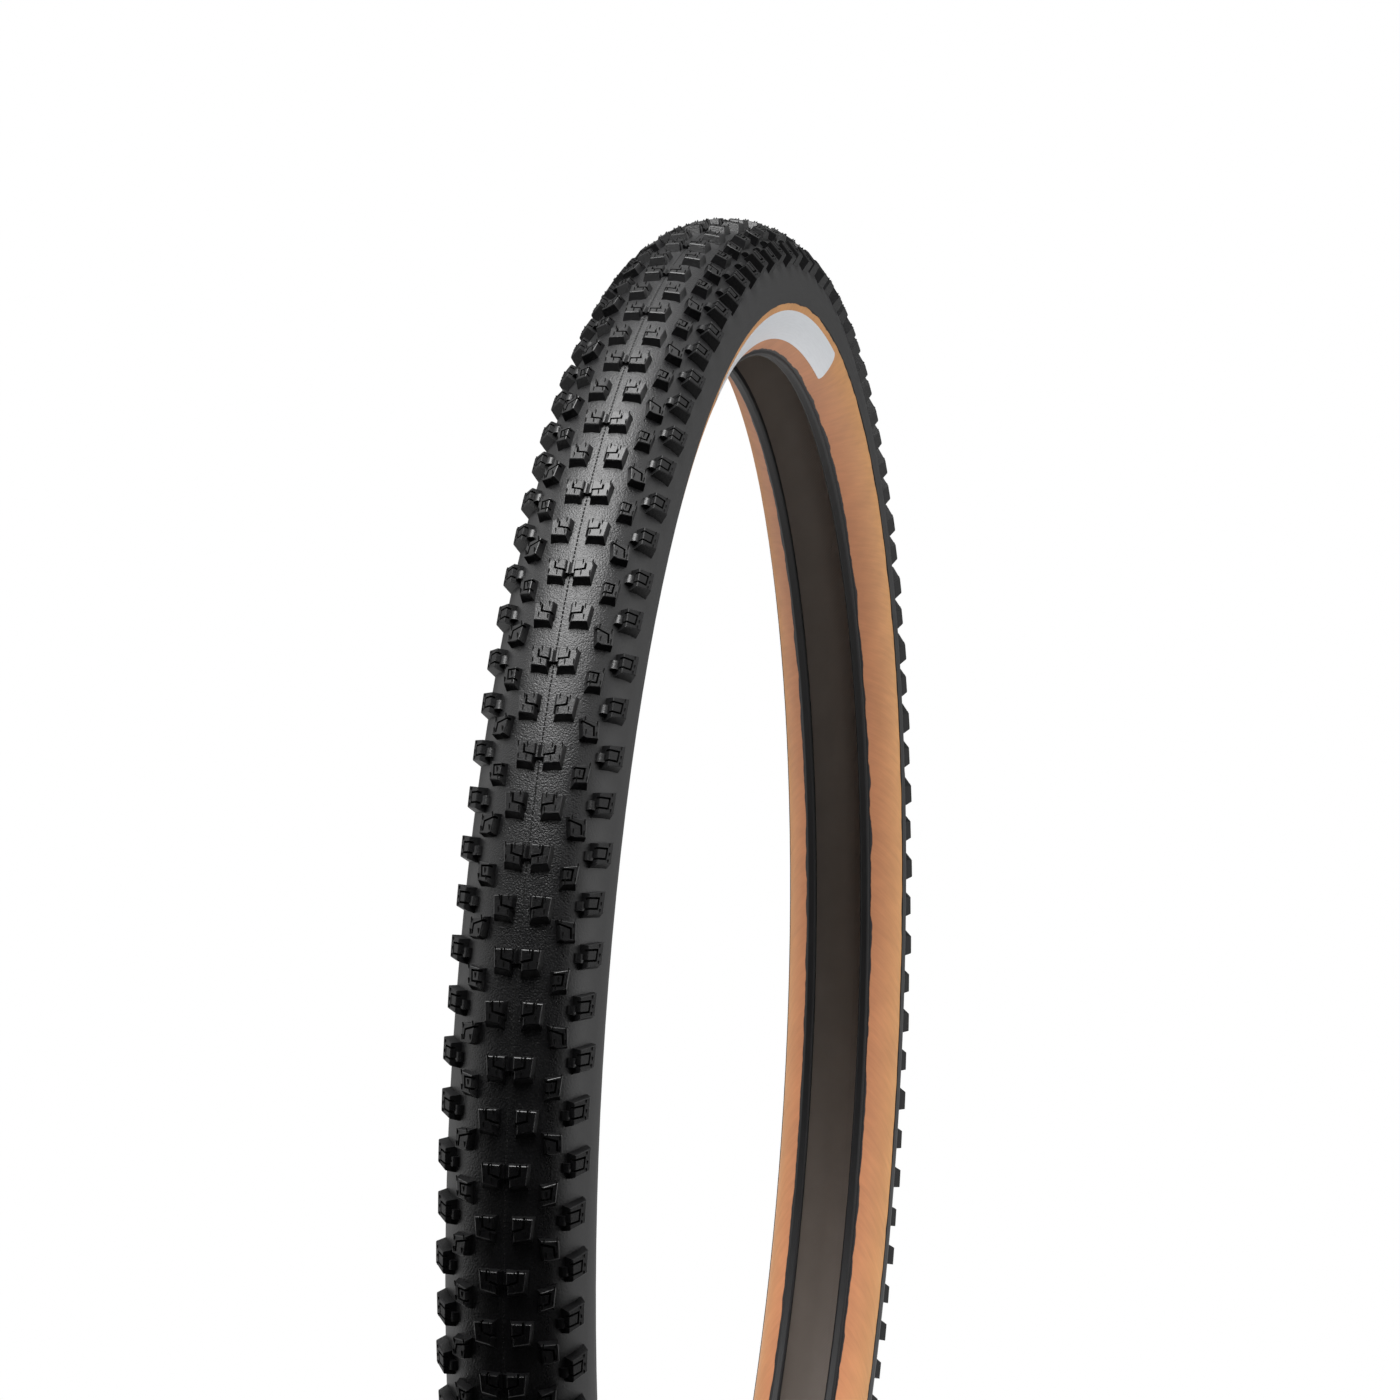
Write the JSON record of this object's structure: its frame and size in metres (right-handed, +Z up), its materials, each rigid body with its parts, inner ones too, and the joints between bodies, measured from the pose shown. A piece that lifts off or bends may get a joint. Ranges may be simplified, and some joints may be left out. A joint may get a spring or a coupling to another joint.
{
  "type": "bicycle tire",
  "caption": "Folding mountain bicycle tyre with a knobbly black tread, tan sidewalls, black bead chafers and an open air chamber, off its rim.",
  "frame": {"origin": "the wheel's centre, on the axle in the tyre's middle plane", "axes": "+Y along the axle towards the tyre's left side, +Z up, +X across; the label is on the right side, across the top"},
  "size_m": [0.737, 0.0576, 0.7368],
  "materials": {
    "tread_rubber": "moulded, satin",
    "knob_rubber": "moulded, satin, fine grain",
    "tan_sidewall": "thin tan rubber over cord, matt",
    "chafer_rubber": "rubbered fabric, satin",
    "liner_butyl": "butyl, matt",
    "casing_cord": "rubbered nylon cord",
    "belt_fabric": "woven aramid",
    "aramid_bundle": "aramid cord bundle",
    "filler_rubber": "hard rubber",
    "label_film": "printed film, bare"
  },
  "bodies": {
    "root": {"inner_liner": "liner_butyl", "casing_ply_inner": "casing_cord", "casing_ply_outer": "casing_cord", "puncture_belt": "belt_fabric", "bead_core_left": "aramid_bundle", "bead_core_right": "aramid_bundle", "bead_filler_left": "filler_rubber", "bead_filler_right": "filler_rubber", "chafer_left": "chafer_rubber", "chafer_right": "chafer_rubber", "sidewall_left": "tan_sidewall", "sidewall_right": "tan_sidewall", "tread_base": "tread_rubber", "centre_knobs_close_left": "knob_rubber", "centre_knobs_close_right": "knob_rubber", "centre_tie_bars": "knob_rubber", "centre_knobs_wide_left": "knob_rubber", "centre_knobs_wide_right": "knob_rubber", "transition_knobs_square_left": "knob_rubber", "transition_knobs_square_right": "knob_rubber", "transition_knobs_skewed_left": "knob_rubber", "transition_knobs_skewed_right": "knob_rubber", "shoulder_knobs_outer_left": "knob_rubber", "shoulder_knobs_outer_right": "knob_rubber", "shoulder_knobs_inner_left": "knob_rubber", "shoulder_knobs_inner_right": "knob_rubber", "sidewall_label": "label_film"}
  },
  "joints": []
}
